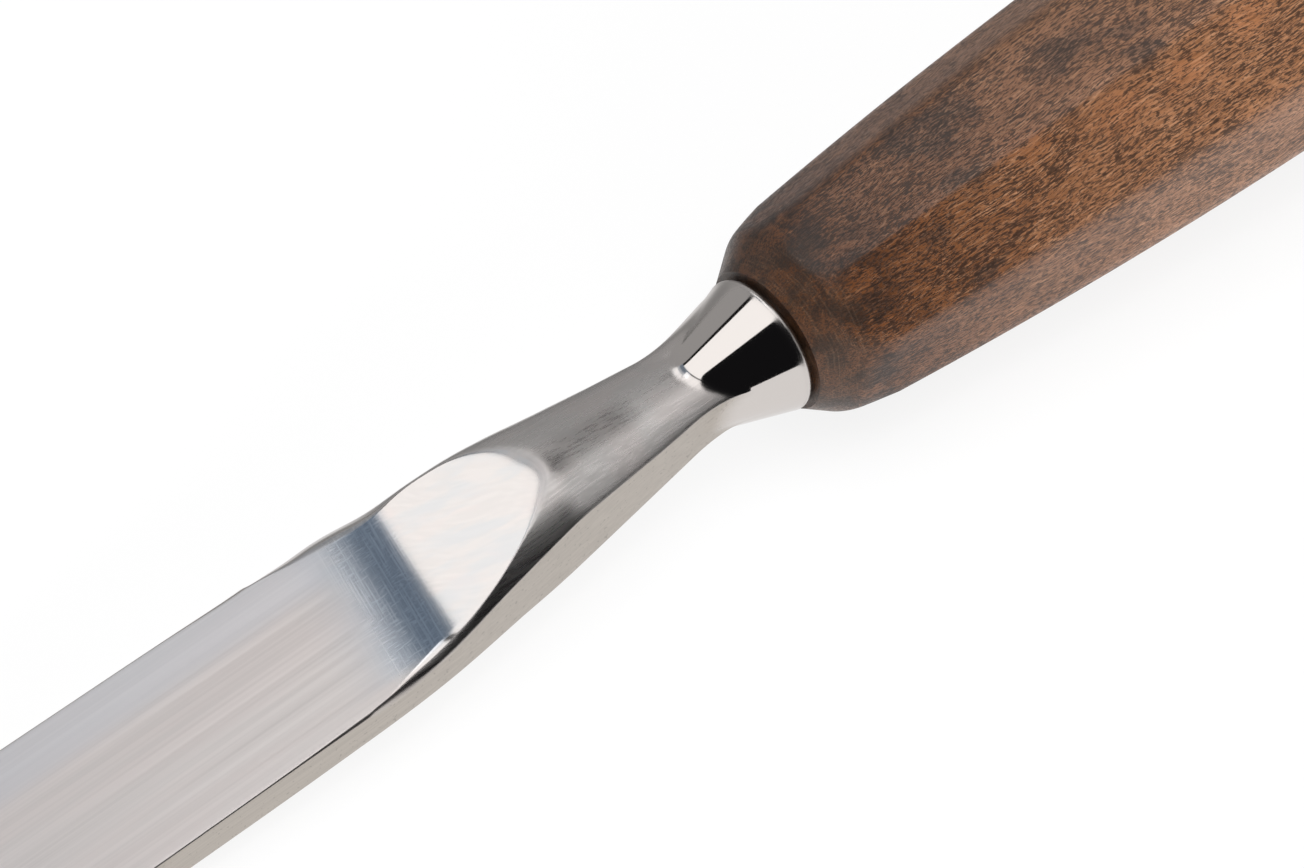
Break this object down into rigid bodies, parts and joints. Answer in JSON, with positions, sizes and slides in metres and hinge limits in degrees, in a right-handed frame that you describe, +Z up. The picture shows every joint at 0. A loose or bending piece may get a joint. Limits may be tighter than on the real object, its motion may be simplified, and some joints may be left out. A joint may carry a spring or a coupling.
{
  "type": "flat carving chisel",
  "caption": "Flat carving chisel: parallel double-bevelled blade, forged neck with a ground ramp and a flared bolster, driven into a barrel-shaped faceted wooden handle.",
  "frame": {"origin": "on the bench, under the middle of the tool's bounding box", "axes": "the tool lies as it rests on a bench, on one flat of the handle and on its cutting edge: +X runs along the tool from the handle to the cutting edge, +Z is up on the side of the blade's face with the ground ramp, +Y runs across the blade"},
  "size_m": [0.2624, 0.0288, 0.0318],
  "materials": {
    "tool_steel": "satin ground blade, polished bolster",
    "stained_wood": "stained and waxed, satin",
    "ring_steel": "plain turned"
  },
  "bodies": {
    "root": {"blade_forging": "tool_steel", "handle": "stained_wood", "inner_ring": "ring_steel"}
  },
  "joints": []
}
